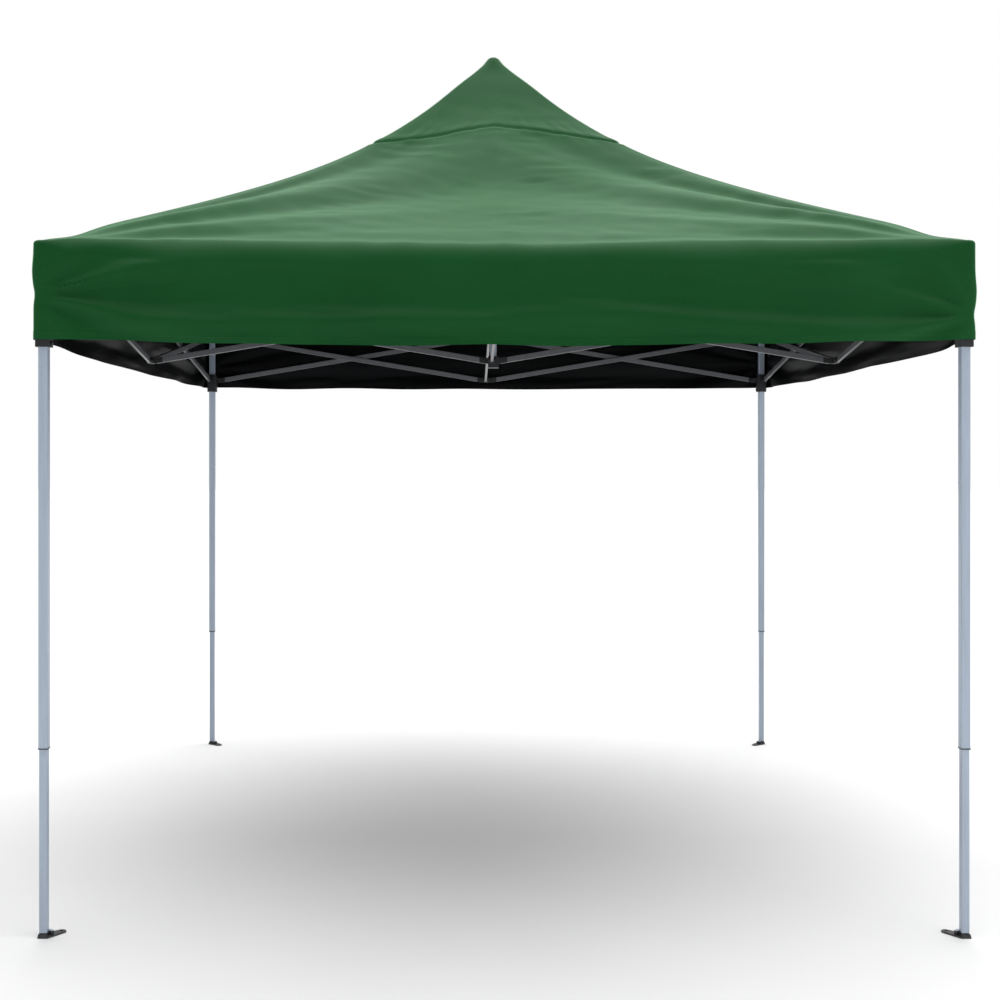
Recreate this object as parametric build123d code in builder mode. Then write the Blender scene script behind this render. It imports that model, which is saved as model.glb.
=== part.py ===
"""Pop up canopy, 3 m square: four telescopic legs, a folding scissor truss, a centre pole and a fabric cover.

Millimetres, +Z up. The origin is on the ground, midway between the four feet. The front is towards -Y.
Every side and every corner is the same, so each piece is modelled for the front side or for the
front left corner, and the others are that piece turned about Z by 90, 180 and 270 degrees.
"""

from build123d import *
import os
from math import asin, degrees

# ---- overall sizes ----
leg_spacing = 2940  # between leg centres, along each side
eave_height = 2215  # top of the cover's lower edge, where the valance starts
peak_height = 3240  # top of the cover
valance_drop = 308  # height of the valance
outer_leg_foot = 605  # height of the outer leg's lower end
truss_height = 230  # between the upper and the lower pivots, open

# ---- legs ----
outer_leg_side = 30
outer_leg_wall = 1.0
leg_gap = 1.5  # between the inner leg and the outer leg's inside
inner_leg_wall = 1.0
leg_corner = 3  # radius of the outer leg's corners
leg_overlap = 250  # inner leg inside the outer leg, extended
ring_height = 4
ring_lip = 1.5  # how far the ring stands proud of the outer leg

# ---- feet ----
foot_thickness = 5
foot_border = 5.5  # of the plate around the inner leg
foot_reach = 43  # from the leg's centre to the stake hole, along X and along Y
foot_ear_radius = 15
stake_hole_radius = 6
foot_round = 1.25
foot_socket_border = 2.75  # wall of the socket around the inner leg
foot_socket_height = 7
foot_rib_width = 20  # of the rib that runs from the socket towards the stake hole
foot_rib_length = 10
foot_rib_height = 12
foot_rib_reach = 1.75  # from the socket's corner to the rib's middle, along X and along Y

# ---- truss bars ----
bar_depth = 24
bar_width = 12
bar_wall = 0.8
bar_corner = 2
bar_gap = 2  # between two bars that cross
bar_end = 22  # moulded end, from the pivot to the tube
bar_shank = 30  # moulded end, inside the tube

# ---- pivots ----
pin_radius = 4
pin_clearance = 0.05
head_radius = 7
head_height = 2.5
side_gap = 0.4  # between a bar's flat side and what is next to it
ear = 4  # thickness of the plates on each side of a bar's end
turn_room = 3  # beyond the round end of a bar
washer_height = 1.2
washer_radius = 11

# ---- connectors, brackets, sliders and hubs ----
core_half = 14
neck = 4
bracket_wall = 3.5
bracket_gap = 0.1  # around the outer leg
bracket_cap = 5
bracket_round = 2.5
bracket_drop = 60  # of the bracket's sleeve, below its cap
pivot_drop = 22  # from the leg's top to the upper pivots
slider_gap = 0.6  # around the outer leg
slider_wall = 7.4
slider_drop = 62  # below the lower pivots
slider_rise = 30  # above the lower pivots
corner_room = 10  # between a slider and the bars that stand beside it, folded
hub_half_height = 17
hub_drop = 31  # of the lower hub, below its pivots

# ---- centre pole ----
pole_radius = 14
pole_wall = 1.2
pole_gap = 0.5
pole_socket = 8
guide_wall = 4
guide_height = 28
pole_cap_radius = 32
pole_cap_height = 36
pole_cap_dome = 14
pole_cap_gap = 8  # below the cover
pole_plug = 6

# ---- buttons ----
button_radius = 4.5
button_proud = 1.2
button_depth = 9
button_below_leg = 18
leaf_width = 8
leaf_thickness = 0.8
leaf_length = 42
latch_radius = 4
latch_knob_radius = 8
latch_knob_height = 5
latch_knob_round = 2.25
latch_below_pivot = 50
latch_tip_gap = 0.4

# ---- cover ----
fabric = 2
cover_gap = 5  # between the valance and the sliders
eave_gap = 10  # between the cover and the top brackets
seam_height = 2800  # of the seam below the peak cone
roof_straight = 0.64  # share of the roof's rise that is an even slope
roof_power = 4  # the rest of the rise steepens towards the peak by this power
roof_overshoot = 49  # height that the roof's curve would gain at the centre without its round top
roof_round = 75  # half the width of that round top
roof_spans = 9

# ---- derived places ----
half = leg_spacing / 2
bracket_top = eave_height - fabric - eave_gap
leg_top = bracket_top - bracket_cap
upper_pivot = leg_top - pivot_drop
lower_pivot = upper_pivot - truss_height
plane_offset = (bar_width + bar_gap) / 2
slider_half = outer_leg_side / 2 + slider_gap + slider_wall
cover_side = leg_spacing + 2 * (slider_half + cover_gap + fabric)
corner_offset = slider_half + corner_room + bar_depth / 2
mid_offset = core_half + turn_room + bar_depth / 2
inner_offset = plane_offset + bar_width / 2 + side_gap + ear + neck + turn_room + bar_depth / 2
bar_span = half - corner_offset - mid_offset
hub_offset = half - inner_offset - bar_span
hub_core = hub_offset - bar_depth / 2 - turn_room
inner_leg_side = outer_leg_side - 2 * outer_leg_wall - 2 * leg_gap
pole_foot = lower_pivot + hub_half_height - pole_socket + pole_gap
pole_top = peak_height - fabric - pole_cap_gap

side_names = ("front", "right", "back", "left")
corner_names = ("front_left", "front_right", "back_right", "back_left")
end_names = (("left", "right"), ("front", "back"), ("right", "left"), ("back", "front"))


def save(name, turn, *pieces):
    """Write one node: its pieces, turned about Z."""
    node = Compound(label=name, children=[piece.part.rotate(Axis.Z, turn) for piece in pieces])
    export_step(node, f"parts/{name}.step")


def pin(middle, axis, low, high):
    """A headed pin through middle, with its two heads seated at low and high along the axis."""
    with BuildPart() as headed_pin:
        with BuildSketch(Plane(origin=middle + axis * low, z_dir=axis)):
            Circle(pin_radius)
        extrude(amount=high - low)
        for seat, way in ((low, -1), (high, 1)):
            with BuildSketch(Plane(origin=middle + axis * seat, z_dir=axis * way)):
                Circle(head_radius)
            extrude(amount=head_height)
        rims = headed_pin.edges().filter_by(GeomType.CIRCLE).sort_by(Axis(middle, axis))
        fillet((rims[0], rims[-1]), head_height / 2)
    return headed_pin


# ---- truss bars ----


def bar_frame(corner_end, middle_end, axis):
    """The plane of a bar: its origin midway, X along the bar and Z along its pins."""
    return Plane(origin=(corner_end + middle_end) / 2, x_dir=middle_end - corner_end, z_dir=axis)


def bar_tube(frame, length):
    with BuildPart() as tube:
        with BuildSketch(frame.offset(-bar_width / 2)):
            Rectangle(length - 2 * bar_end, bar_depth)
        extrude(amount=bar_width)
        fillet(tube.edges().filter_by(Axis(frame.origin, frame.x_dir)), bar_corner)
        with BuildSketch(frame.offset(bar_wall - bar_width / 2)):
            Rectangle(length, bar_depth - 2 * bar_wall)
        extrude(amount=bar_width - 2 * bar_wall, mode=Mode.SUBTRACT)
        with BuildSketch(frame.offset(-bar_width / 2)):
            Circle(pin_radius + pin_clearance)
        extrude(amount=bar_width, mode=Mode.SUBTRACT)
    return tube


def bar_plug(frame, length, way):
    """The moulded end of a bar, pushed into its tube, with the pivot's hole in its round nose."""
    pivot = way * length / 2
    with BuildPart() as plug:
        with BuildSketch(frame.offset(-bar_width / 2)):
            with Locations((pivot, 0)):
                Circle(bar_depth / 2)
            with Locations((pivot - way * bar_end / 2, 0)):
                Rectangle(bar_end, bar_depth)
        extrude(amount=bar_width)
        with BuildSketch(frame.offset(bar_wall - bar_width / 2)):
            with Locations((pivot - way * (bar_end + bar_shank / 2), 0)):
                Rectangle(bar_shank, bar_depth - 2 * bar_wall)
        extrude(amount=bar_width - 2 * bar_wall)
        with BuildSketch(frame.offset(-bar_width / 2)):
            with Locations((pivot, 0)):
                Circle(pin_radius + pin_clearance)
        extrude(amount=bar_width, mode=Mode.SUBTRACT)
    return plug


def bar_washer(frame, face, way):
    """A spacer on a bar's flat side, around the middle pivot."""
    with BuildPart() as washer:
        with BuildSketch(frame.offset(way * face)):
            Circle(washer_radius)
            Circle(pin_radius + pin_clearance, mode=Mode.SUBTRACT)
        extrude(amount=way * washer_height)
    return washer


def bar(corner_end, middle_end, axis, rivet_way):
    """A bar's solids. The bar that carries the middle rivet has it on the side of rivet_way, else 0."""
    frame = bar_frame(corner_end, middle_end, axis)
    length = (middle_end - corner_end).length
    solids = [bar_tube(frame, length), bar_plug(frame, length, -1), bar_plug(frame, length, 1)]
    if rivet_way:
        near = -rivet_way * bar_width / 2
        far = rivet_way * (bar_width * 1.5 + bar_gap + side_gap)
        solids.append(pin(frame.origin, frame.z_dir, min(near, far), max(near, far)))
        solids.append(bar_washer(frame, bar_width / 2, rivet_way))
    return solids


def side_bars(way):
    """The two crossed bars of one half of the front side; way is -1 for its left half."""
    inner_plane = -half + plane_offset
    outer_plane = -half - plane_offset
    corner_x = way * (half - corner_offset)
    middle_x = way * mid_offset
    axis = Vector(0, 1, 0)
    top_bar = bar(
        Vector(corner_x, inner_plane, upper_pivot), Vector(middle_x, inner_plane, lower_pivot), axis, -1
    )
    slider_bar = bar(
        Vector(corner_x, outer_plane, lower_pivot), Vector(middle_x, outer_plane, upper_pivot), axis, 0
    )
    return top_bar, slider_bar


def cross_bars():
    """The two crossed bars from the front side's middle to the hubs."""
    outer_y = -half + inner_offset
    hub_y = -hub_offset
    axis = Vector(1, 0, 0)
    high_bar = bar(
        Vector(plane_offset, outer_y, lower_pivot), Vector(plane_offset, hub_y, upper_pivot), axis, -1
    )
    low_bar = bar(
        Vector(-plane_offset, outer_y, upper_pivot), Vector(-plane_offset, hub_y, lower_pivot), axis, 0
    )
    return high_bar, low_bar


# ---- connectors and hubs ----


def ear_faces(way):
    """Where the plates beside a bar start, across the bar, for bars on the side of way."""
    outer = way * plane_offset - bar_width / 2 - side_gap - ear
    inner = way * plane_offset + bar_width / 2 + side_gap
    return outer, inner


def side_connector(level, way):
    """The block at the middle of the front side; way is 1 for the lower one and -1 for the upper one."""
    base = Vector(0, -half, level)
    outer, inner = ear_faces(way)
    with BuildPart() as block:
        for face in (outer, inner):
            with BuildSketch(Plane(origin=base + Vector(0, face, 0), x_dir=(1, 0, 0), z_dir=(0, 1, 0))):
                SlotCenterToCenter(2 * mid_offset, bar_depth)
            extrude(amount=ear)
        with BuildSketch(Plane(origin=base + Vector(0, outer, 0), x_dir=(1, 0, 0), z_dir=(0, 1, 0))):
            Rectangle(2 * core_half, bar_depth)
        extrude(amount=inner + ear - outer)
        neck_end = inner_offset - bar_depth / 2 - turn_room
        with BuildSketch(Plane(origin=base + Vector(outer, 0, 0), x_dir=(0, 1, 0), z_dir=(1, 0, 0))):
            with Locations(((inner + neck_end) / 2, 0)):
                Rectangle(neck_end - inner, bar_depth)
        extrude(amount=inner + ear - outer)
        for face in (outer, inner):
            with BuildSketch(Plane(origin=base + Vector(face, 0, 0), x_dir=(0, 1, 0), z_dir=(1, 0, 0))):
                with Locations((inner_offset, 0)):
                    Circle(bar_depth / 2)
                with Locations(((inner + inner_offset) / 2, 0)):
                    Rectangle(inner_offset - inner, bar_depth)
            extrude(amount=ear)
        for x in (-mid_offset, mid_offset):
            with BuildSketch(Plane(origin=base + Vector(x, outer, 0), z_dir=(0, 1, 0))):
                Circle(pin_radius + pin_clearance)
            extrude(amount=inner + ear - outer, mode=Mode.SUBTRACT)
        with BuildSketch(Plane(origin=base + Vector(outer, inner_offset, 0), z_dir=(1, 0, 0))):
            Circle(pin_radius + pin_clearance)
        extrude(amount=inner + ear - outer, mode=Mode.SUBTRACT)
    pins = [
        pin(base + Vector(x, 0, 0), Vector(0, 1, 0), outer, inner + ear) for x in (-mid_offset, mid_offset)
    ]
    pins.append(pin(base + Vector(0, inner_offset, 0), Vector(1, 0, 0), outer, inner + ear))
    return block, *pins


def hub(level, way, low, high, guide, socket):
    """A hub for four bars. The upper one (way 1) guides the pole and the lower one (way -1) holds its foot."""
    outer, inner = ear_faces(way)
    pins = []
    with BuildPart() as block:
        with BuildSketch(Plane.XY.offset(level - low)):
            RectangleRounded(2 * hub_core, 2 * hub_core, ear)
        extrude(amount=low + high)
        for turn in range(4):
            out = Vector(0, -1, 0).rotate(Axis.Z, 90 * turn)
            across = Vector(1, 0, 0).rotate(Axis.Z, 90 * turn)
            centre = Vector(0, 0, level)
            for face in (outer, inner):
                with BuildSketch(Plane(origin=centre + across * face, x_dir=out, z_dir=across)):
                    with Locations((hub_offset, 0)):
                        Circle(bar_depth / 2)
                    with Locations((hub_offset / 2, 0)):
                        Rectangle(hub_offset, bar_depth)
                extrude(amount=ear)
            with BuildSketch(Plane(origin=centre + out * hub_offset + across * outer, z_dir=across)):
                Circle(pin_radius + pin_clearance)
            extrude(amount=inner + ear - outer, mode=Mode.SUBTRACT)
            pins.append(pin(centre + out * hub_offset, across, outer, inner + ear))
        if guide:
            with BuildSketch(Plane.XY.offset(level + high)):
                Circle(pole_radius + pole_gap + guide_wall)
            extrude(amount=guide)
        with BuildSketch(Plane.XY.offset(level + high + guide)):
            Circle(pole_radius + pole_gap)
        extrude(amount=-(socket or low + high + guide), mode=Mode.SUBTRACT)
    return block, *pins


# ---- corners ----


def corner_ears(block_half, level, way):
    """Plates and holes for the two bars that meet at the front left corner, and the pins through them."""
    outer, inner = ear_faces(way)
    corner = Vector(-half, -half, level)
    reach = corner_offset - block_half / 2
    pins = []
    with BuildPart() as ears:
        for out, across in ((Vector(1, 0, 0), Vector(0, 1, 0)), (Vector(0, 1, 0), Vector(1, 0, 0))):
            for face in (outer, inner):
                with BuildSketch(Plane(origin=corner + across * face, x_dir=out, z_dir=across)):
                    with Locations((corner_offset, 0)):
                        Circle(bar_depth / 2)
                    with Locations((corner_offset - reach / 2, 0)):
                        Rectangle(reach, bar_depth)
                extrude(amount=ear)
            with BuildSketch(Plane(origin=corner + out * corner_offset + across * outer, z_dir=across)):
                Circle(pin_radius + pin_clearance)
            extrude(amount=inner + ear - outer, mode=Mode.SUBTRACT)
            pins.append(pin(corner + out * corner_offset, across, outer, inner + ear))
    return ears, pins


def top_bracket():
    """The moulded cap on a leg's top, with the ears for two top bars."""
    sleeve_half = outer_leg_side / 2 + bracket_gap + bracket_wall
    ears, pins = corner_ears(sleeve_half, upper_pivot, 1)
    corner = Plane(origin=(-half, -half, bracket_top))
    with BuildPart() as bracket:
        with BuildSketch(corner.offset(-bracket_drop)):
            RectangleRounded(2 * sleeve_half, 2 * sleeve_half, leg_corner + bracket_wall)
        extrude(amount=bracket_drop)
        fillet(bracket.faces().sort_by(Axis.Z)[-1].edges(), bracket_round)
        add(ears.part)
        with BuildSketch(corner.offset(-bracket_drop)):
            RectangleRounded(
                outer_leg_side + 2 * bracket_gap, outer_leg_side + 2 * bracket_gap, leg_corner + bracket_gap
            )
        extrude(amount=bracket_drop - bracket_cap, mode=Mode.SUBTRACT)
    return bracket, *pins


def slider():
    """The sleeve that runs on the outer leg, with the ears for two slider bars and the latch's hole."""
    ears, pins = corner_ears(slider_half, lower_pivot, -1)
    corner = Plane(origin=(-half, -half, lower_pivot - slider_drop))
    bore_side = outer_leg_side + 2 * slider_gap
    with BuildPart() as sleeve:
        with BuildSketch(corner):
            RectangleRounded(2 * slider_half, 2 * slider_half, leg_corner + slider_gap)
        extrude(amount=slider_drop + slider_rise)
        add(ears.part)
        with BuildSketch(corner):
            RectangleRounded(bore_side, bore_side, leg_corner + slider_gap)
        extrude(amount=slider_drop + slider_rise, mode=Mode.SUBTRACT)
        with BuildSketch(Plane(origin=(-half, -half, lower_pivot - latch_below_pivot), z_dir=(1, 0, 0))):
            Circle(latch_radius + pin_clearance)
        extrude(amount=slider_half, mode=Mode.SUBTRACT)
    return sleeve, *pins


def slider_latch():
    """The pull knob that locks the slider to the leg, drawn with its tip just clear of the leg."""
    start = outer_leg_side / 2 + latch_tip_gap
    knob_start = slider_half + side_gap
    centre = Vector(-half, -half, lower_pivot - latch_below_pivot)
    with BuildPart() as latch:
        with BuildSketch(Plane(origin=centre + Vector(start, 0, 0), z_dir=(1, 0, 0))):
            Circle(latch_radius)
        extrude(amount=knob_start - start)
        with BuildSketch(Plane(origin=centre + Vector(knob_start, 0, 0), z_dir=(1, 0, 0))):
            Circle(latch_knob_radius)
        extrude(amount=latch_knob_height)
        fillet(latch.faces().sort_by(Axis.X)[-1].edges(), latch_knob_round)
    return (latch,)


def square_tube(low, high, side, wall, corner):
    """An upright square tube at the front left corner, open at both ends."""
    with BuildPart() as tube:
        with BuildSketch(Plane(origin=(-half, -half, low))):
            RectangleRounded(side, side, corner)
            RectangleRounded(side - 2 * wall, side - 2 * wall, corner - wall, mode=Mode.SUBTRACT)
        extrude(amount=high - low)
    return tube


def outer_leg():
    tube = square_tube(outer_leg_foot, leg_top, outer_leg_side, outer_leg_wall, leg_corner)
    with BuildPart() as ring:
        with BuildSketch(Plane(origin=(-half, -half, outer_leg_foot - ring_height))):
            ring_side = outer_leg_side + 2 * ring_lip
            bore_side = outer_leg_side - 2 * outer_leg_wall
            RectangleRounded(ring_side, ring_side, leg_corner + ring_lip)
            RectangleRounded(bore_side, bore_side, leg_corner - outer_leg_wall, mode=Mode.SUBTRACT)
        extrude(amount=ring_height)
        fillet(ring.faces().sort_by(Axis.Z)[0].outer_wire().edges(), ring_lip / 2)
    return tube, ring


def inner_leg():
    """The inner leg's tube, with the snap button's hole, and its foot."""
    corner = leg_corner - outer_leg_wall
    tube = square_tube(
        foot_thickness, outer_leg_foot + leg_overlap, inner_leg_side, inner_leg_wall, corner
    )
    with BuildPart() as drilled:
        add(tube.part)
        with BuildSketch(Plane(origin=button_centre(), z_dir=(0, -1, 0))):
            Circle(button_radius + pin_clearance)
        extrude(amount=inner_leg_side, mode=Mode.SUBTRACT)
    return drilled, foot()


def foot():
    """The moulded foot: a plate with a socket, and an ear with a stake hole towards the centre."""
    plate_half = inner_leg_side / 2 + foot_border
    leg_centre = Plane(origin=(-half, -half, 0))
    socket_half = inner_leg_side / 2 + foot_socket_border
    rib_place = socket_half + foot_rib_reach
    with BuildPart() as plate:
        with BuildSketch(leg_centre) as outline:
            RectangleRounded(2 * plate_half, 2 * plate_half, foot_border)
            with Locations((foot_reach, foot_reach)):
                Circle(foot_ear_radius)
            make_hull()
        extrude(amount=foot_thickness)
        fillet(plate.faces().sort_by(Axis.Z)[-1].edges(), foot_round)
        with BuildSketch(leg_centre.offset(foot_thickness)):
            with Locations((rib_place, rib_place)):
                Rectangle(foot_rib_length, foot_rib_width, rotation=45)
        extrude(amount=foot_rib_height)
        with BuildSketch(leg_centre.offset(foot_thickness)):
            Rectangle(2 * socket_half, 2 * socket_half)
        extrude(amount=foot_socket_height)
        with BuildSketch(leg_centre.offset(foot_thickness)):
            RectangleRounded(inner_leg_side, inner_leg_side, leg_corner - outer_leg_wall)
        extrude(amount=foot_rib_height, mode=Mode.SUBTRACT)
        with BuildSketch(leg_centre):
            with Locations((foot_reach, foot_reach)):
                Circle(stake_hole_radius)
        extrude(amount=foot_thickness, mode=Mode.SUBTRACT)
    return plate


def button_centre():
    return Vector(-half, -half, outer_leg_foot - ring_height - button_below_leg)


def snap_button():
    """The spring button of an inner leg, with the spring leaf that carries it inside the tube."""
    centre = button_centre()
    face = inner_leg_side / 2 + button_proud
    leaf_face = face - button_depth
    with BuildPart() as button:
        with BuildSketch(Plane(origin=centre - Vector(0, leaf_face, 0), z_dir=(0, -1, 0))):
            Circle(button_radius)
        extrude(amount=button_depth)
        fillet(button.faces().sort_by(Axis.Y)[0].edges(), button_proud)
        leaf_centre = centre - Vector(0, leaf_face, leaf_length / 2 - button_radius)
        with BuildSketch(Plane(origin=leaf_centre, x_dir=(1, 0, 0), z_dir=(0, 1, 0))):
            Rectangle(leaf_width, leaf_length)
        extrude(amount=leaf_thickness)
    return (button,)


# ---- centre pole ----


def centre_pole():
    """The pole's tube, its foot plug and its domed cap."""
    cap_foot = pole_top - pole_cap_height
    dome_radius = (pole_cap_radius**2 + pole_cap_dome**2) / (2 * pole_cap_dome)
    with BuildPart() as tube:
        with BuildSketch(Plane.XY.offset(pole_foot + pole_plug)):
            Circle(pole_radius)
            Circle(pole_radius - pole_wall, mode=Mode.SUBTRACT)
        extrude(amount=cap_foot - pole_foot - pole_plug)
    with BuildPart() as foot_plug:
        with BuildSketch(Plane.XY.offset(pole_foot)):
            Circle(pole_radius)
        extrude(amount=pole_plug)
        with BuildSketch(Plane.XY.offset(pole_foot + pole_plug)):
            Circle(pole_radius - pole_wall)
        extrude(amount=bar_shank)
    with BuildPart() as cap:
        with BuildSketch(Plane.XZ):
            with BuildLine():
                dome_half = degrees(asin(pole_cap_radius / dome_radius))
                dome = CenterArc((0, pole_top - dome_radius), dome_radius, 90 - dome_half, dome_half)
                Polyline(dome @ 1, (0, cap_foot), (pole_cap_radius, cap_foot), dome @ 0)
            make_face()
        revolve(axis=Axis.Z)
    return tube, foot_plug, cap


# ---- cover ----


def roof_height(out):
    """Height of the roof's upper face at a distance out from the centre, beyond its round top."""
    share = 1 - out / (cover_side / 2)
    rise = peak_height + roof_overshoot - eave_height
    return eave_height + rise * (roof_straight * share + (1 - roof_straight) * share**roof_power)


def cover_panel(outline):
    """A quarter of the cover: an outline in the YZ plane, drawn along the front and mitred at its corners."""
    edge = cover_side / 2
    with BuildPart() as panel:
        with BuildSketch(Plane.YZ):
            make_face(outline.edges())
        extrude(amount=edge, both=True)
        with BuildSketch(Plane.XY):
            with BuildLine():
                Polyline((0, 0), (-edge, -edge), (edge, -edge), close=True)
            make_face()
        extrude(amount=peak_height * 2, mode=Mode.INTERSECT)
    return panel


def roof_outline():
    """The roof's curve from the eave to its round top, and the same curve a fabric's thickness lower."""
    edge = cover_side / 2
    steps = [roof_round + (edge - roof_round) * (n / roof_spans) ** 2 for n in range(roof_spans + 1)]
    curve = [(-out, roof_height(out)) for out in reversed(steps)] + [(0, peak_height)]
    under = [(y, z - fabric) for y, z in curve]
    eave_slope = (curve[1][1] - curve[0][1]) / (curve[1][0] - curve[0][0])
    with BuildLine() as outline:
        Spline(*curve, tangents=[(1, eave_slope), (1, 0)])
        Line(curve[-1], under[-1])
        Spline(*under, tangents=[(1, eave_slope), (1, 0)])
        Line(under[0], curve[0])
    return outline


def valance_outline():
    edge = cover_side / 2
    top = eave_height - fabric
    hem = eave_height - valance_drop
    with BuildLine() as outline:
        Polyline((-edge, top), (fabric - edge, top), (fabric - edge, hem), (-edge, hem), close=True)
    return outline


def build_sides():
    halves = (side_bars(-1), side_bars(1))
    high_bar, low_bar = cross_bars()
    upper = side_connector(upper_pivot, -1)
    lower = side_connector(lower_pivot, 1)
    for number, side in enumerate(side_names):
        turn = 90 * number
        for end, (top_bar, slider_bar) in zip(end_names[number], halves):
            save(f"{side}_{end}_top_bar", turn, *top_bar)
            save(f"{side}_{end}_slider_bar", turn, *slider_bar)
        save(f"{side}_hub_high_bar", turn, *high_bar)
        save(f"{side}_hub_low_bar", turn, *low_bar)
        save(f"{side}_upper_connector", turn, *upper)
        save(f"{side}_lower_connector", turn, *lower)


def build_corners():
    pieces = {
        "top_bracket": top_bracket(),
        "slider": slider(),
        "slider_latch": slider_latch(),
        "outer_leg": outer_leg(),
        "inner_leg": inner_leg(),
        "snap_button": snap_button(),
    }
    for number, corner in enumerate(corner_names):
        for name, solids in pieces.items():
            save(f"{corner}_{name}", 90 * number, *solids)


def build_centre():
    save("upper_hub", 0, *hub(upper_pivot, 1, hub_half_height, hub_half_height, guide_height, 0))
    save("lower_hub", 0, *hub(lower_pivot, -1, hub_drop, hub_half_height, 0, pole_socket))
    save("centre_pole", 0, *centre_pole())


def build_cover():
    roof = cover_panel(roof_outline()).part
    seam = Plane.XY.offset(seam_height)
    cone = split(roof, bisect_by=seam, keep=Keep.TOP)
    skirt = split(roof, bisect_by=seam, keep=Keep.BOTTOM)
    valance = cover_panel(valance_outline()).part
    panels = [piece.rotate(Axis.Z, 90 * n) for piece in (cone, skirt, valance) for n in range(4)]
    cover = Compound(label="canopy_cover", children=panels)
    export_step(cover, "parts/canopy_cover.step")


os.makedirs("parts", exist_ok=True)
build_sides()
build_corners()
build_centre()
build_cover()
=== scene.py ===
"""Pop up canopy: materials for the CAD frame, and its fabric cover as one continuous curved sheet.

Metres, in the frame of the CAD model: the origin is on the ground midway between the feet, +Z up and
the front towards -Y. The cover is one surface, cut where the frame folds: a peak cone, eight half roof
panels and eight half valances, whose edges share their points and their normals.
"""

import math

import bpy
import numpy as np
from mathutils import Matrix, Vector


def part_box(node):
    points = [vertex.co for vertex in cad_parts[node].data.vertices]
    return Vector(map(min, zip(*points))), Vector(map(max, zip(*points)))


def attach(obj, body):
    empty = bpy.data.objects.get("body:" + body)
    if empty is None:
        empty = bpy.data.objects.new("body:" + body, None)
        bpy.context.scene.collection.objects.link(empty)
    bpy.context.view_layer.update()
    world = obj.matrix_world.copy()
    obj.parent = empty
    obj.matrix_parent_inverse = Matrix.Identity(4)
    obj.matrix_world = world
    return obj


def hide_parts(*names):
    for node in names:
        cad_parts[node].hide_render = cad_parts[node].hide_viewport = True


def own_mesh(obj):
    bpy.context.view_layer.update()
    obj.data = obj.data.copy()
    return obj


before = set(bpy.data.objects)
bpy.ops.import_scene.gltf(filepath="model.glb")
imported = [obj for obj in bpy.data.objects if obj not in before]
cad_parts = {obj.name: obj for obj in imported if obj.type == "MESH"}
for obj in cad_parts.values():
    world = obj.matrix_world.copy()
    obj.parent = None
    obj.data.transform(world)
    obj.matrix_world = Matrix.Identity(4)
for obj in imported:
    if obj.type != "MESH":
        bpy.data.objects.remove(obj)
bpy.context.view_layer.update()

# ---- places from the frame ----
COVER_LOW, COVER_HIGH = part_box("canopy_cover")
HALF = COVER_HIGH[0]  # half the cover's side
PEAK = COVER_HIGH[2]
HEM = COVER_LOW[2]
BRACKET_CLEARANCE = 0.012  # between a bracket's cap and the cover's corner
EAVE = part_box("front_left_top_bracket")[1][2] + BRACKET_CLEARANCE

# ---- cover's shape ----
CLOTH = 0.0012  # thickness
OVERSHOOT = 0.049  # height that the roof's curve would gain at the centre without its round top
STRAIGHT = 0.64  # share of the rise that is an even slope
POWER = 4
CAP_RADIUS = 0.044  # of the round top, over the pole's cap
CAP_PULL = 0.018  # how far the cloth around the pole's cap is drawn in below the roof's curve
SEAM_HIP = 0.480  # of the cone's seam from the centre, at the hips
SEAM_MIDDLE = 0.375  # and midway between two hips
CORNER_ROUND = 0.020
CORNER_PAD = 0.010  # the brackets lift the cloth at the corners
EAVE_ROUND = 0.014  # at the corners
EAVE_SOFT = 0.034  # more of it, midway between the corners
EAVE_SAGS = (0.020, 0.014, 0.007, 0.012)  # of each side's eave and hem, midway between the corners
PANEL_SAG = 0.038
HEM_HEIGHT = 0.024
INWARD = 0.005  # the frame stops the valance's folds from going farther in
FOLD_ROOT = 0.014  # least half width of a fold that starts at a strapped corner
STITCH = 0.0065  # from one stitch to the next
STITCH_WIDTH = 0.0011
STITCH_HEIGHT = 0.0005
SIDES = ("front", "right", "back", "left")
ENDS = (("left", "right"), ("front", "back"), ("right", "left"), ("back", "front"))
CORNERS = ("front_left", "front_right", "back_right", "back_left")
PINCH_HEIGHTS = (2.050, 1.985, 2.035, 2.010)  # where the valance is strapped to each leg

# ---- grid ----
ACROSS = 72  # cells from a side's middle to its corner
CONE_ROWS = 34
ROOF_ROWS = 84
EAVE_ROWS = 10
VALANCE_ROWS = 40
COLUMN_CROWDING = 1.25  # columns lie closer together towards the corners
CONE_CROWDING = 1.15  # rows lie closer together towards the peak
SEAM_CROWDING = 1.25  # the roof's rows lie closer together beside the cone's seam


def smooth(low, high, x):
    t = np.clip((x - low) / (high - low), 0, 1)
    return t * t * (3 - 2 * t)


def bell(x, width):
    return np.exp(-((x / width) ** 2))


def waves(seed, x, y, sizes, count=14):
    """Smooth noise: sine waves of random direction, about as long as sizes says along x and along y."""
    rng = np.random.RandomState(seed)
    total = np.zeros(np.broadcast(x, y).shape)
    for _ in range(count):
        angle, phase = rng.uniform(0, math.pi), rng.uniform(0, 2 * math.pi)
        stretch = rng.uniform(0.7, 1.5)
        fx = math.cos(angle) * 2 * math.pi / (sizes[0] * stretch)
        fy = math.sin(angle) * 2 * math.pi / (sizes[1] * stretch)
        total += np.sin(fx * x + fy * y + phase)
    return total / math.sqrt(count)


def column_places():
    """For each half of a side, its columns' places and their numbers; 0 is the middle, 1 or -1 a corner."""
    spread = 1 - (1 - np.linspace(0, 1, ACROSS + 1)) ** COLUMN_CROWDING
    numbers = np.arange(ACROSS + 1)
    return (-spread[::-1], numbers), (spread, numbers)


COLUMNS = column_places()


# ---- the cover's surface ----


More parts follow.
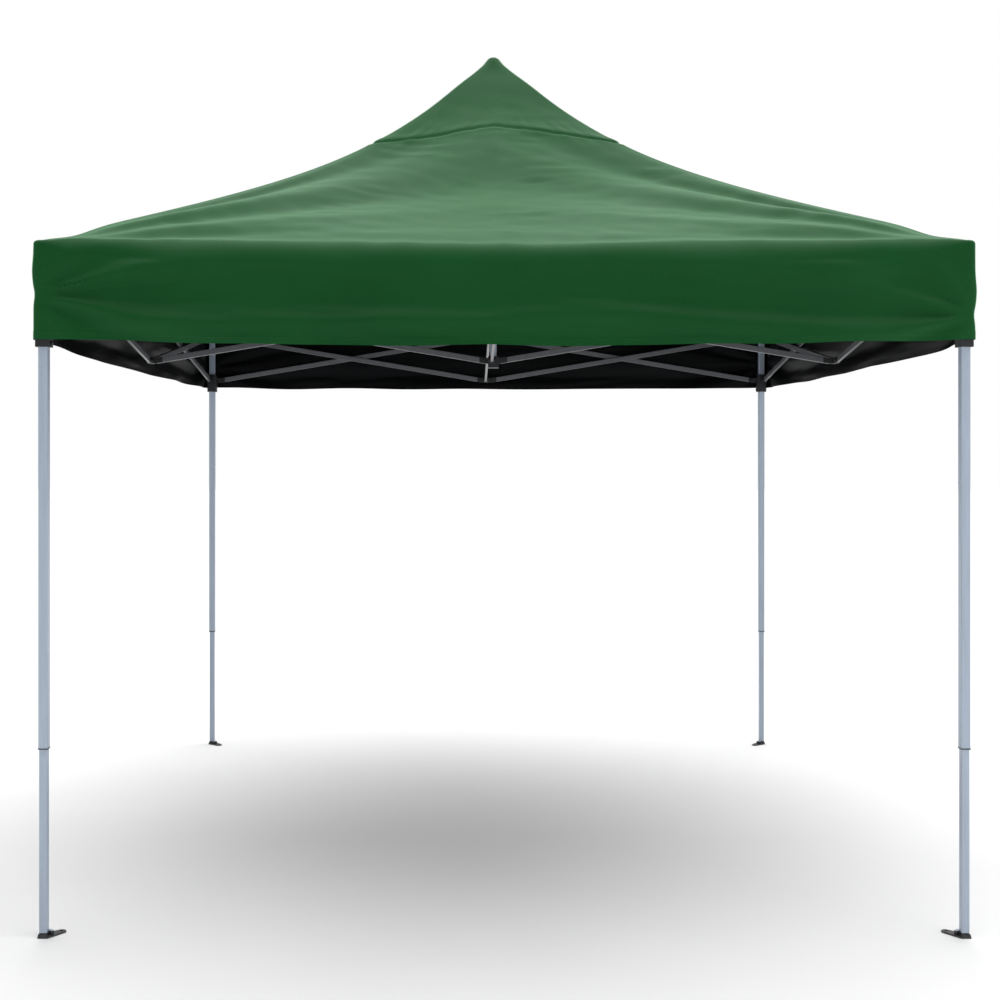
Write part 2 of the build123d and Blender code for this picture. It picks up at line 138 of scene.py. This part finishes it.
def seam_distance(a):
    """Distance of the cone's seam from the centre; a runs from 0 at a side's middle to 1 at a hip."""
    return SEAM_MIDDLE + (SEAM_HIP - SEAM_MIDDLE) * np.abs(a) ** 1.6


def roof_profile(out):
    rise = PEAK + OVERSHOOT - EAVE
    share = 1 - out / HALF
    curve = EAVE + rise * (STRAIGHT * share + (1 - STRAIGHT) * share**POWER)
    curve = curve - CAP_PULL * bell(out - 0.055, 0.07) - 0.012 * bell(out - 1.395, 0.06)
    cap = PEAK - out**2 / (2 * CAP_RADIUS)
    soft = 0.006
    lower = -soft * np.logaddexp(-curve / soft, -cap / soft)
    return curve + (lower - curve) * smooth(0.085, 0.050, out)


def ring(a, out):
    """A point of a square ring around the centre, on the front side, with rounded corners."""
    radius = np.minimum(CORNER_ROUND + 0.9 * out * smooth(0.25, 0.0, out), 0.98 * out)
    straight = out - radius
    length = np.abs(a) * (straight + radius * math.pi / 4)
    turn = np.maximum(length - straight, 0) / np.maximum(radius, 1e-9)
    x = np.minimum(length, straight) + radius * np.sin(turn)
    y = -straight - radius * np.cos(turn)
    return np.sign(a) * x, y


def roof_point(side, a, out):
    x, y = ring(a, out)
    power = 2 + 26 * smooth(0.03, 0.26, out)
    far = (np.abs(x) ** power + np.abs(y) ** power) ** (1 / power)
    far = far * 2 ** (-smooth(0.05, 0.4, out) / power)
    middle = (1 - a**2) ** 2
    below = np.clip((out - 0.40) / (HALF - 0.40), 0, 1)
    z = roof_profile(far) - PANEL_SAG * middle * np.sin(math.pi * below) ** 1.2
    return x, y, z - EAVE_SAGS[side] * (1 - a**2) * smooth(0.9, HALF, out)


def fans(side, end, x, out):
    """Height of the pulled folds that fan out from a corner over the roof, between the hip and the eave."""
    rng = np.random.RandomState(40 + 2 * side + end)
    reach = np.hypot(HALF - x, HALF - out)
    turn = np.degrees(np.arctan2(HALF - out, HALF - x))
    total = np.zeros(np.shape(reach))
    for angle, width, height, peak in (
        (4, 1.6, 0.0022, 0.50),
        (11, 2.6, -0.0040, 0.62),
        (18, 3.0, 0.0052, 0.75),
        (26, 3.4, -0.0060, 0.85),
        (33, 3.2, 0.0085, 0.80),
        (39.5, 2.6, -0.0105, 0.85),
    ):
        angle += rng.uniform(-1.5, 1.5)
        height *= rng.uniform(0.9, 1.6)
        share = reach / (peak * rng.uniform(0.85, 1.15))
        total += height * share**1.5 * np.exp(1.5 * (1 - share)) * bell(turn - angle, width)
    return total * smooth(0.02, 0.35, reach)


def roof_relief(side, a, out):
    """How far the roof's cloth stands out of its smooth shape."""
    x = a * out
    total = np.where(a < 0, fans(side, 0, np.abs(x), out), fans(side, 1, np.abs(x), out))
    total = total * smooth(0.0, 0.12, 1 - np.abs(a)) * smooth(0.30, 0.50, out)
    off_hip = smooth(0.0, 0.10, (1 - np.abs(a)) * out) * smooth(0.05, 0.3, out)
    total += 0.0030 * off_hip * waves(7 + side, x, out, (0.75, 0.50))
    patches = smooth(0.1, 1.2, waves(17 + side, x, out, (0.60, 0.45)))
    total += 0.0011 * off_hip * patches * waves(27 + side, x, out, (0.34, 0.045), 20)
    total += 0.0007 * off_hip * waves(37 + side, x, out, (0.13, 0.07), 20)
    seam = seam_distance(a)
    pinches = waves(47 + side, 3 * a, 0 * out, (0.45, 1.0), 9)
    total += 0.0013 * off_hip * bell(out - seam, 0.070) * pinches
    total += 0.0045 * bell(out - seam, 0.024) - 0.0075 * bell(out - seam - 0.011, 0.007)
    crease = 0.0045 * np.exp(-np.abs(x) / 0.06) * smooth(0.15, 0.4, out)
    hip_seam = 0.0016 * smooth(0.016, 0.010, (1 - np.abs(a)) * out)
    return total + crease + hip_seam


def eave_place(side, a):
    """Radius of the turn from roof to valance, and the height that the turn's corner would have."""
    radius = EAVE_ROUND + EAVE_SOFT * (1 - a**6)
    pad = CORNER_PAD * bell((1 - np.abs(a)) * HALF, 0.055)
    return radius, EAVE + pad - EAVE_SAGS[side] * (1 - a**2)


def valance_relief(side, a, z):
    """How far the valance's cloth stands out of its plane."""
    x = np.abs(a) * HALF
    near = HALF - x
    number = np.where(a < 0, side, (side + 1) % 4)
    pinch = np.asarray(PINCH_HEIGHTS)[number]
    wander = 0.012 * waves(61 + side, a * HALF, 0 * z, (1.3, 1.0), 5)
    middle = smooth(0.02, 0.5, near)
    total = 0.0200 * middle * bell(z - 1.968 - wander, 0.034)
    total -= 0.0110 * middle * bell(z - 2.060 - wander, 0.040)
    total += 0.0060 * middle * bell(z - 2.150 - wander, 0.028)
    total += 0.0040 * middle * waves(71 + side, a * HALF, z, (0.70, 0.11), 12)
    total += 0.0016 * middle * waves(81 + side, a * HALF, z, (0.30, 0.045), 12)
    reach = np.hypot(near, z - pinch)
    turn = np.degrees(np.arctan2(z - pinch, near + 0.012))
    folds = np.zeros(np.shape(total))
    for angle, width, height, peak in (
        (-48, 9, 0.0050, 0.10),
        (-27, 8, -0.0060, 0.16),
        (-11, 6, 0.0105, 0.26),
        (2, 4.5, -0.0085, 0.24),
        (13, 5, 0.0075, 0.24),
        (27, 7, -0.0050, 0.16),
        (46, 10, 0.0040, 0.12),
    ):
        share = reach / peak
        spread = np.maximum(width, np.degrees(FOLD_ROOT / np.maximum(reach, 1e-4)))
        folds += height * share * np.exp(1 - share) * bell(turn - angle, spread)
    total += 1.9 * folds * smooth(0.005, 0.08, near)
    total -= 0.0060 * bell(near, 0.055) * bell(z - pinch, 0.022)
    total += 0.0050 * bell(near, 0.08) * bell(z - pinch - 0.075, 0.045)
    return INWARD * np.logaddexp(0, (total + INWARD) / INWARD * 2) / 2 - INWARD * 0.95


def cover_row(side, a, row):
    """A row of the cover's outer face, on one side, from the peak to the hem."""
    radius, corner_z = eave_place(side, a)
    seam, brink = seam_distance(a), HALF - radius
    if row <= CONE_ROWS + ROOF_ROWS:
        if row <= CONE_ROWS:
            out = seam * (row / CONE_ROWS) ** CONE_CROWDING
        else:
            out = seam + (brink - seam) * ((row - CONE_ROWS) / ROOF_ROWS) ** SEAM_CROWDING
        x, y, z = roof_point(side, a, out)
        z = z + roof_relief(side, a, out)
        return np.stack([x, y, z], axis=-1)
    top_x, top_y, top_z = roof_point(side, a, brink)
    top_z = top_z + roof_relief(side, a, brink)
    edge_x, edge_y = ring(a, HALF + 0 * a)
    if row <= CONE_ROWS + ROOF_ROWS + EAVE_ROWS:
        t = (row - CONE_ROWS - ROOF_ROWS) / EAVE_ROWS
        start, bend, end = (1 - t) ** 2, 2 * t * (1 - t), t**2
        bottom = corner_z - radius
        x = start * top_x + (bend + end) * edge_x
        y = start * top_y + (bend + end) * edge_y
        z = start * top_z + bend * corner_z + end * bottom
        push = end * valance_relief(side, a, bottom)
    else:
        t = (row - CONE_ROWS - ROOF_ROWS - EAVE_ROWS) / VALANCE_ROWS
        hem = HEM - EAVE_SAGS[side] * (1 - a**2) + 0.0022 * waves(91 + side, a * HALF, 0 * a, (0.5, 1.0), 6)
        z = (corner_z - radius) * (1 - t) + hem * t
        x, y = edge_x, edge_y
        push = valance_relief(side, a, z)
        push = push + 0.0009 * smooth(HEM_HEIGHT + 0.002, HEM_HEIGHT, z - hem)
    corner = smooth(0.985, 1.0, np.abs(a))
    return np.stack([x + np.sign(a) * push * corner * 0.7, y - push * (1 - 0.3 * corner), z], axis=-1)


def turned(points, side):
    """Points of the front side, turned about Z to another side."""
    c, s = math.cos(side * math.pi / 2), math.sin(side * math.pi / 2)
    turn = np.array([[c, -s, 0], [s, c, 0], [0, 0, 1]])
    return points @ turn.T


def cover_grid(side, end):
    """Rows by columns of points over half a side; its columns run from left to right."""
    a = COLUMNS[end][0]
    rows = CONE_ROWS + ROOF_ROWS + EAVE_ROWS + VALANCE_ROWS
    return turned(np.stack([cover_row(side, a, row) for row in range(rows + 1)]), side)


def grid_quads(rows, columns, start=0):
    index = start + np.arange(rows * columns).reshape(rows, columns)
    return np.stack(
        [index[:-1, :-1], index[1:, :-1], index[1:, 1:], index[:-1, 1:]], axis=-1
    ).reshape(-1, 4)


def shared_normals(grids):
    """Normals of all the grids together, equal where two grids meet."""
    points = np.concatenate([grid.reshape(-1, 3) for grid in grids])
    quads, start = [], 0
    for grid in grids:
        quads.append(grid_quads(*grid.shape[:2], start))
        start += grid.shape[0] * grid.shape[1]
    quads = np.concatenate(quads)
    _, weld = np.unique(np.round(points, 5), axis=0, return_inverse=True)
    weld = weld.reshape(-1)
    across = np.cross(points[quads[:, 2]] - points[quads[:, 0]], points[quads[:, 3]] - points[quads[:, 1]])
    total = np.zeros((weld.max() + 1, 3))
    for corner in range(4):
        np.add.at(total, weld[quads[:, corner]], across)
    normals = total[weld]
    normals /= np.maximum(np.linalg.norm(normals, axis=1, keepdims=True), 1e-12)
    cuts = np.cumsum([grid.shape[0] * grid.shape[1] for grid in grids])[:-1]
    return [n.reshape(g.shape) for n, g in zip(np.split(normals, cuts), grids)]


# ---- meshes ----


def make_object(name, points, faces, normals, slots, face_slots):
    mesh = bpy.data.meshes.new(name)
    mesh.from_pydata([tuple(p) for p in points], [], [tuple(int(i) for i in f) for f in faces])
    for material in slots:
        mesh.materials.append(material)
    mesh.polygons.foreach_set("material_index", np.asarray(face_slots, dtype=np.int32))
    mesh.polygons.foreach_set("use_smooth", [True] * len(faces))
    mesh.update()
    if normals is not None:
        mesh.normals_split_custom_set_from_vertices([tuple(n) for n in normals])
    piece = bpy.data.objects.new(name, mesh)
    bpy.context.scene.collection.objects.link(piece)
    return piece


def cloth_object(name, grids, normal_grids, slots):
    """A thin closed sheet from grids of outer points: its outer face, its inner face and its rims."""
    outer = np.concatenate([grid.reshape(-1, 3) for grid in grids])
    normals = np.concatenate([grid.reshape(-1, 3) for grid in normal_grids])
    quads, start = [], 0
    for grid in grids:
        quads.append(grid_quads(*grid.shape[:2], start))
        start += grid.shape[0] * grid.shape[1]
    quads = np.concatenate(quads)
    _, first, weld = np.unique(np.round(outer, 6), axis=0, return_index=True, return_inverse=True)
    weld = weld.reshape(-1)
    outer, normals, quads = outer[first], normals[first], weld[quads]
    faces = []
    for quad in quads:
        corners = list(dict.fromkeys(int(i) for i in quad))
        if len(corners) > 2:
            faces.append(corners)
    count = len(outer)
    edges = {}
    for face in faces:
        for one, two in zip(face, face[1:] + face[:1]):
            edges[(one, two)] = True
    rims = [(two, one, one + count, two + count) for one, two in edges if (two, one) not in edges]
    inner_faces = [[i + count for i in reversed(face)] for face in faces]
    points = np.concatenate([outer, outer - normals * CLOTH])
    both = np.concatenate([normals, -normals])
    face_slots = [0] * len(faces) + [1] * len(inner_faces) + [0] * len(rims)
    return make_object(name, points, faces + inner_faces + rims, both, slots, face_slots)


def sample(grid, a, row):
    """Values of a half side's grid at places a across it and at fractional rows."""
    column = np.interp(a, *COLUMNS[0 if a[len(a) // 2] < 0 else 1])
    top, left = np.minimum(row.astype(int), len(grid) - 2), np.minimum(column.astype(int), ACROSS - 1)
    v, u = (row - top)[:, None], (column - left)[:, None]
    upper = grid[top, left] * (1 - u) + grid[top, left + 1] * u
    lower = grid[top + 1, left] * (1 - u) + grid[top + 1, left + 1] * u
    return upper * (1 - v) + lower * v


def stitch_row(points, normals):
    """Vertices and faces of a row of stitches, each a slim raised thread between two path points."""
    vertices, faces = [], []
    for one, two, out in zip(points[:-1], points[1:], normals[:-1]):
        run = two - one
        side = np.cross(out, run)
        side *= STITCH_WIDTH / 2 / max(np.linalg.norm(side), 1e-9)
        start = len(vertices)
        head, tail = one + 0.12 * run, two - 0.12 * run
        middle = (head + tail) / 2 + out * STITCH_HEIGHT
        vertices += [head, middle + side, tail, middle - side, (head + tail) / 2 - out * STITCH_HEIGHT]
        for i, j in ((0, 1), (1, 2), (2, 3), (3, 0)):
            faces.append((start + j, start + i, start + 4))
        faces += [(start, start + 1, start + 3), (start + 1, start + 2, start + 3)]
    return vertices, faces


def stitches(name, rows, thread):
    """One object of several rows of stitches."""
    vertices, faces = [], []
    for points, normals in rows:
        more, triangles = stitch_row(points, normals)
        faces += [tuple(len(vertices) + i for i in triangle) for triangle in triangles]
        vertices += more
    piece = make_object(name, vertices, faces, None, (thread,), [0] * len(faces))
    return piece


# ---- materials ----


class Nodes:
    """A material's node tree, and short calls that add to it."""

    def __init__(self, name):
        self.material = bpy.data.materials.new(name)
        self.material.use_nodes = True
        self.tree = self.material.node_tree
        self.shader = self.tree.nodes["Principled BSDF"]

    def add(self, kind, inputs=None, **settings):
        node = self.tree.nodes.new(kind)
        for key, value in settings.items():
            setattr(node, key, value)
        for key, value in (inputs or {}).items():
            self.put(node.inputs[key], value)
        return node

    def put(self, socket, value):
        if isinstance(value, bpy.types.NodeSocket):
            self.tree.links.new(value, socket)
        else:
            socket.default_value = value

    def place(self, scale=(1, 1, 1)):
        coordinates = self.add("ShaderNodeTexCoord").outputs["Object"]
        return self.add("ShaderNodeMapping", {"Vector": coordinates, "Scale": scale}).outputs["Vector"]

    def noise(self, scale, detail=4.0, rough=0.55, stretch=(1, 1, 1)):
        node = self.add(
            "ShaderNodeTexNoise",
            {"Vector": self.place(stretch), "Scale": scale, "Detail": detail, "Roughness": rough},
        )
        return node.outputs["Fac"]

    def ramp(self, value, stops):
        node = self.add("ShaderNodeValToRGB", {"Fac": value})
        elements = node.color_ramp.elements
        elements[0].position, elements[0].color = stops[0][0], (*stops[0][1], 1)
        elements[1].position, elements[1].color = stops[-1][0], (*stops[-1][1], 1)
        for position, colour in stops[1:-1]:
            elements.new(position).color = (*colour, 1)
        return node.outputs["Color"]

    def level(self, value, low, high, from_low=0.0, from_high=1.0):
        inputs = {"Value": value, "From Min": from_low, "From Max": from_high, "To Min": low, "To Max": high}
        return self.add("ShaderNodeMapRange", inputs).outputs["Result"]

    def math(self, operation, one, two):
        node = self.add("ShaderNodeMath", operation=operation)
        self.put(node.inputs[0], one)
        self.put(node.inputs[1], two)
        return node.outputs["Value"]

    def mix(self, share, one, two):
        node = self.add("ShaderNodeMix", data_type="RGBA")
        self.put(node.inputs[0], share)
        self.put(node.inputs[6], one)
        self.put(node.inputs[7], two)
        return node.outputs[2]

    def bump(self, height, distance, strength=1.0, below=None):
        inputs = {"Height": height, "Distance": distance, "Strength": strength}
        if below is not None:
            inputs["Normal"] = below
        return self.add("ShaderNodeBump", inputs).outputs["Normal"]

    def finish(self, **sockets):
        for key, value in sockets.items():
            self.put(self.shader.inputs[key.replace("_", " ")], value)
        return self.material


def weave(nodes):
    """Height of a plain weave, for cloth that faces up or sideways."""
    threads = []
    for direction in ("X", "Y", "Z"):
        node = nodes.add(
            "ShaderNodeTexWave",
            {"Vector": nodes.place(), "Scale": 260.0, "Distortion": 0.6, "Detail": 1.0, "Detail Scale": 1.5},
            bands_direction=direction,
        )
        threads.append(node.outputs["Fac"])
    return nodes.math("ADD", nodes.math("ADD", threads[0], threads[1]), threads[2])


def cover_cloth(name, dark, light, sheen, gloss):
    """Coated woven polyester: even colour, faint cloudiness, a soft sheen and a fine weave."""
    nodes = Nodes(name)
    cloud = nodes.noise(1.7, 5.0, 0.6)
    fine = nodes.noise(210.0, 2.0)
    tone = nodes.math("ADD", nodes.math("MULTIPLY", fine, 0.35), cloud)
    colour = nodes.ramp(tone, [(0.45, dark), (0.95, light)])
    bump = nodes.bump(weave(nodes), 0.00012, 0.35)
    bump = nodes.bump(nodes.noise(38.0, 3.0, 0.6), 0.0012, 0.10, bump)
    nodes.shader.inputs["Sheen Weight"].default_value = sheen
    nodes.shader.inputs["Sheen Roughness"].default_value = 0.40
    nodes.shader.inputs["Sheen Tint"].default_value = (0.40, 0.95, 0.50, 1)
    nodes.shader.inputs["Specular IOR Level"].default_value = gloss
    return nodes.finish(Base_Color=colour, Roughness=nodes.level(cloud, 0.46, 0.60), Normal=bump)


def powder_coat(name, tone):
    """Grey powder coat on steel, with faint streaks along the tube and small scuffs."""
    nodes = Nodes(name)
    streaks = nodes.noise(60.0, 3.0, 0.6, (1, 1, 0.06))
    scuffs = nodes.noise(46.0, 6.0, 0.7)
    darker, lighter = (tuple(min(1, share * t) for t in tone) for share in (0.93, 1.05))
    base = nodes.ramp(streaks, [(0.3, darker), (0.7, lighter)])
    worn = nodes.level(scuffs, 0.0, 0.5, 0.66, 0.78)
    colour = nodes.mix(worn, base, tuple(0.72 * t for t in tone) + (1,))
    bump = nodes.bump(nodes.noise(900.0, 2.0), 0.00008, 0.4)
    nodes.shader.inputs["Metallic"].default_value = 0.25
    nodes.shader.inputs["Coat Weight"].default_value = 0.15
    nodes.shader.inputs["Coat Roughness"].default_value = 0.3
    return nodes, colour, nodes.level(scuffs, 0.30, 0.46), bump


def moulded_nylon(name, tone=(0.012, 0.013, 0.015)):
    """Black glass-filled nylon: fine grain, with paler rubbed spots."""
    nodes = Nodes(name)
    rubbed = nodes.level(nodes.noise(70.0, 5.0, 0.65), 0.0, 1.0, 0.5, 0.8)
    colour = nodes.mix(rubbed, (*tone, 1), tuple(2.6 * t for t in tone) + (1,))
    bump = nodes.bump(nodes.noise(1400.0, 2.0), 0.0001, 0.5)
    nodes.shader.inputs["Specular IOR Level"].default_value = 0.4
    return nodes, colour, nodes.level(rubbed, 0.46, 0.6), bump


def plain(parts):
    """The material that a coat's parts make with nothing added."""
    nodes, colour, rough, bump = parts
    return nodes.finish(Base_Color=colour, Roughness=rough, Normal=bump)


def leg_material(name, tone, foot_top):
    """Powder coat above foot_top, and black nylon below it, for a foot or for the ring at a tube's end."""
    nodes, colour, rough, bump = powder_coat(name, tone)
    height = nodes.add("ShaderNodeSeparateXYZ", {"Vector": nodes.place()}).outputs["Z"]
    above = nodes.level(height, 0.0, 1.0, foot_top - 0.0004, foot_top + 0.0004)
    grit = nodes.level(nodes.noise(120.0, 4.0), 0.0, 1.0, 0.35, 0.75)
    foot = nodes.mix(grit, (0.018, 0.019, 0.022, 1), (0.060, 0.062, 0.066, 1))
    return nodes.finish(Base_Color=nodes.mix(above, foot, colour), Roughness=rough, Normal=bump)


def bar_material(name, tone, along, end_share):
    """Powder coat, with the moulded black ends of a bar that runs along X or Y."""
    nodes, colour, rough, bump = powder_coat(name, tone)
    generated = nodes.add("ShaderNodeTexCoord").outputs["Generated"]
    place = nodes.add("ShaderNodeSeparateXYZ", {"Vector": generated}).outputs[along]
    off_middle = nodes.math("ABSOLUTE", nodes.math("SUBTRACT", place, 0.5), 0.0)
    end = nodes.level(off_middle, 0.0, 1.0, 0.5 - end_share - 0.0003, 0.5 - end_share + 0.0003)
    colour = nodes.mix(end, colour, (0.013, 0.014, 0.016, 1))
    return nodes.finish(Base_Color=colour, Roughness=rough, Normal=bump)


STEEL = (0.40, 0.47, 0.57)
# Painted shade: the truss bars have the legs' powder coat, darkened here to stand in for the shade under the
# cover.
TRUSS_STEEL_PAINTED_SHADE = (0.115, 0.12, 0.13)


def dress_frame():
    """Give every CAD node its material."""
    nylon = plain(moulded_nylon("moulded_nylon"))
    tube = plain(powder_coat("powder_coat", STEEL))
    inner = leg_material("inner_leg_coat", STEEL, 0.0165)
    ring_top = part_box("front_left_outer_leg")[0][2] + 0.004
    outer = leg_material("outer_leg_coat", STEEL, ring_top)
    bar_low, bar_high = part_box("front_left_top_bar")
    end_share = 0.034 / (bar_high[0] - bar_low[0])
    # The bars' coat is painted shade, darker than the legs' coat of the same steel.
    bar_x = bar_material("bar_coat_x_painted_shade", TRUSS_STEEL_PAINTED_SHADE, "X", end_share)
    bar_y = bar_material("bar_coat_y_painted_shade", TRUSS_STEEL_PAINTED_SHADE, "Y", end_share)
    for name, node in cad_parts.items():
        across = name.startswith(("front_", "back_")) != name.endswith(("high_bar", "low_bar"))
        if name.endswith("_bar"):
            material = bar_x if across else bar_y
        elif name.endswith("_inner_leg"):
            material = inner
        elif name.endswith("_outer_leg"):
            material = outer
        elif name.endswith(("_snap_button", "_pole")):
            material = tube
        else:
            material = nylon
        for slot in node.material_slots:
            slot.material = material


# ---- the cover's pieces ----


def half_range(end, count, limit=1.0):
    """Evenly spaced places over half a side, from left to right."""
    return np.linspace(-limit, 0, count) if end == 0 else np.linspace(0, limit, count)


def hem_row(end, height):
    """The places of a row of stitches at a height above the hem."""
    a = half_range(end, int(HALF / STITCH), 0.994)
    down = 1 - height / (EAVE - HEM)
    row = CONE_ROWS + ROOF_ROWS + EAVE_ROWS + VALANCE_ROWS * down
    return a, np.full(len(a), row)


def cone_row(end):
    """The places of the stitches just above the cone's seam."""
    a = half_range(end, int(SEAM_MIDDLE * 1.1 / STITCH))
    share = 1 - 0.006 / seam_distance(a)
    return a, CONE_ROWS * share ** (1 / CONE_CROWDING)


def hip_row(end):
    """The places of the stitches beside a hip, from the cone's seam to the eave."""
    count = int((HALF - SEAM_HIP) * 1.5 / STITCH)
    row = CONE_ROWS + ROOF_ROWS * np.linspace(0.01, 0.97, count)
    out = SEAM_HIP + (HALF - SEAM_HIP) * ((row - CONE_ROWS) / ROOF_ROWS) ** SEAM_CROWDING
    return (1 - 0.009 / out) * (-1 if end == 0 else 1), row


def build_cover():
    thread = Nodes("thread").finish(Base_Color=(0.012, 0.11, 0.03, 1), Roughness=0.6)
    green = cover_cloth("cover_outer", (0.0040, 0.058, 0.0125), (0.0060, 0.076, 0.0175), 0.42, 0.08)
    # Painted shade: the inner face is near black to stand in for the shade under the cover, not for the
    # cloth's own colour.
    painted_shade_lining = cover_cloth("cover_lining_painted_shade", (0.003, 0.0035, 0.004), (0.005, 0.0055, 0.006), 0.0, 0.05)
    keys = [(side, end) for side in range(4) for end in range(2)]
    grids = dict(zip(keys, (cover_grid(*key) for key in keys)))
    normals = dict(zip(keys, shared_normals([grids[key] for key in keys])))
    eave_row = CONE_ROWS + ROOF_ROWS + EAVE_ROWS
    made = {}

    def sew(name, row_places):
        rows = [[sample(kind[key], *places) for kind in (grids, normals)] for key, places in row_places]
        return stitches(name, rows, thread)

    def cut(name, chosen, low, high):
        rows = slice(low, high + 1)
        made[name] = cloth_object(
            name, [grids[k][rows] for k in chosen], [normals[k][rows] for k in chosen], (green, painted_shade_lining)
        )
        return made[name]

    cone = cut("peak_cone", keys, 0, CONE_ROWS)
    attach(cone, "centre_pole")
    sewn = {"peak_cone": sew("cone_stitches", [(key, cone_row(key[1])) for key in keys])}
    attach(sewn["peak_cone"], "centre_pole")
    for side, end in keys:
        name = f"{SIDES[side]}_{ENDS[side][end]}"
        corner = CORNERS[(side + end) % 4]
        roof = cut(f"roof_{name}", [(side, end)], CONE_ROWS, eave_row)
        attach(roof, f"{name}_top_bar")
        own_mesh(roof)
        sewn[f"roof_{name}"] = sew(f"hip_stitches_{name}", [((side, end), hip_row(end))])
        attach(sewn[f"roof_{name}"], f"{name}_top_bar")
        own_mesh(sewn[f"roof_{name}"])
        valance = cut(f"valance_{name}", [(side, end)], eave_row, eave_row + VALANCE_ROWS)
        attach(valance, f"{corner}_leg")
        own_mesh(valance)
        hem = sew(f"hem_stitches_{name}", [((side, end), hem_row(end, HEM_HEIGHT - 0.003))])
        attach(hem, f"{corner}_leg")
        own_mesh(hem)
        sewn[f"valance_{name}"] = hem
    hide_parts("canopy_cover")
    return made, sewn


def declare_cloth(made):
    """Go through the cover's pieces without declaring anything about them. The area is the mesh's
    own, up to the rectangle's, so it says nothing about the pattern by itself.
    """
    for name, piece in made.items():
        if name == "peak_cone":
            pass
        elif name.startswith("roof_"):
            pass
        else:
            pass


# ---- floor, light and camera ----


def build_stage():
    floor_mesh = bpy.data.meshes.new("floor")
    reach = 60.0
    corners = [(-reach, -reach, 0), (reach, -reach, 0), (reach, reach, 0), (-reach, reach, 0)]
    floor_mesh.from_pydata(corners, [], [(0, 1, 2, 3)])
    floor = bpy.data.objects.new("floor", floor_mesh)
    bpy.context.scene.collection.objects.link(floor)
    nodes = Nodes("floor")
    paper = nodes.ramp(nodes.noise(0.8, 2.0), [(0.3, (0.90, 0.90, 0.90)), (0.7, (0.93, 0.93, 0.93))])
    floor_mesh.materials.append(nodes.finish(Base_Color=paper, Roughness=0.9))
    world = bpy.data.worlds.new("studio")
    bpy.context.scene.world = world
    world.use_nodes = True
    tree = world.node_tree
    light = tree.nodes["Background"]
    light.inputs["Color"].default_value = (1.0, 1.0, 1.0, 1)
    light.inputs["Strength"].default_value = 0.34
    backdrop = tree.nodes.new("ShaderNodeBackground")
    backdrop.inputs["Color"].default_value = (1.0, 1.0, 1.0, 1)
    seen = tree.nodes.new("ShaderNodeLightPath").outputs["Is Camera Ray"]
    both = tree.nodes.new("ShaderNodeMixShader")
    tree.links.new(seen, both.inputs[0])
    tree.links.new(light.outputs[0], both.inputs[1])
    tree.links.new(backdrop.outputs[0], both.inputs[2])
    tree.links.new(both.outputs[0], tree.nodes["World Output"].inputs[0])
    bpy.context.scene.view_settings.view_transform = "Standard"


def area_light(name, place, target, size, power):
    light = bpy.data.lights.new(name, "AREA")
    light.shape = "RECTANGLE"
    light.size, light.size_y = size
    light.energy = power
    lamp = bpy.data.objects.new(name, light)
    lamp.location = place
    lamp.rotation_euler = (Vector(target) - Vector(place)).to_track_quat("-Z", "Y").to_euler()
    bpy.context.scene.collection.objects.link(lamp)


def build_lights():
    sun = bpy.data.lights.new("sky", "SUN")
    sun.energy = 3.5
    sun.angle = math.radians(95)
    lamp = bpy.data.objects.new("sky", sun)
    lamp.rotation_euler = (math.radians(-14), math.radians(8), 0)
    bpy.context.scene.collection.objects.link(lamp)
    area_light("front_right", (5.5, -6.5, 3.2), (0, -1, 1.8), (2.0, 2.0), 40)


def build_camera():
    camera = bpy.data.cameras.new("camera")
    camera.sensor_width = 36
    camera.lens = 48.96
    camera.shift_x, camera.shift_y = 0.039, -0.042
    eye = bpy.data.objects.new("camera", camera)
    eye.location = (-0.138, -5.815, 1.53)
    eye.rotation_euler = (math.radians(90), 0, 0)
    bpy.context.scene.collection.objects.link(eye)
    bpy.context.scene.camera = eye


build_stage()
build_lights()
build_camera()
dress_frame()
cover, cover_stitches = build_cover()
declare_cloth(cover)
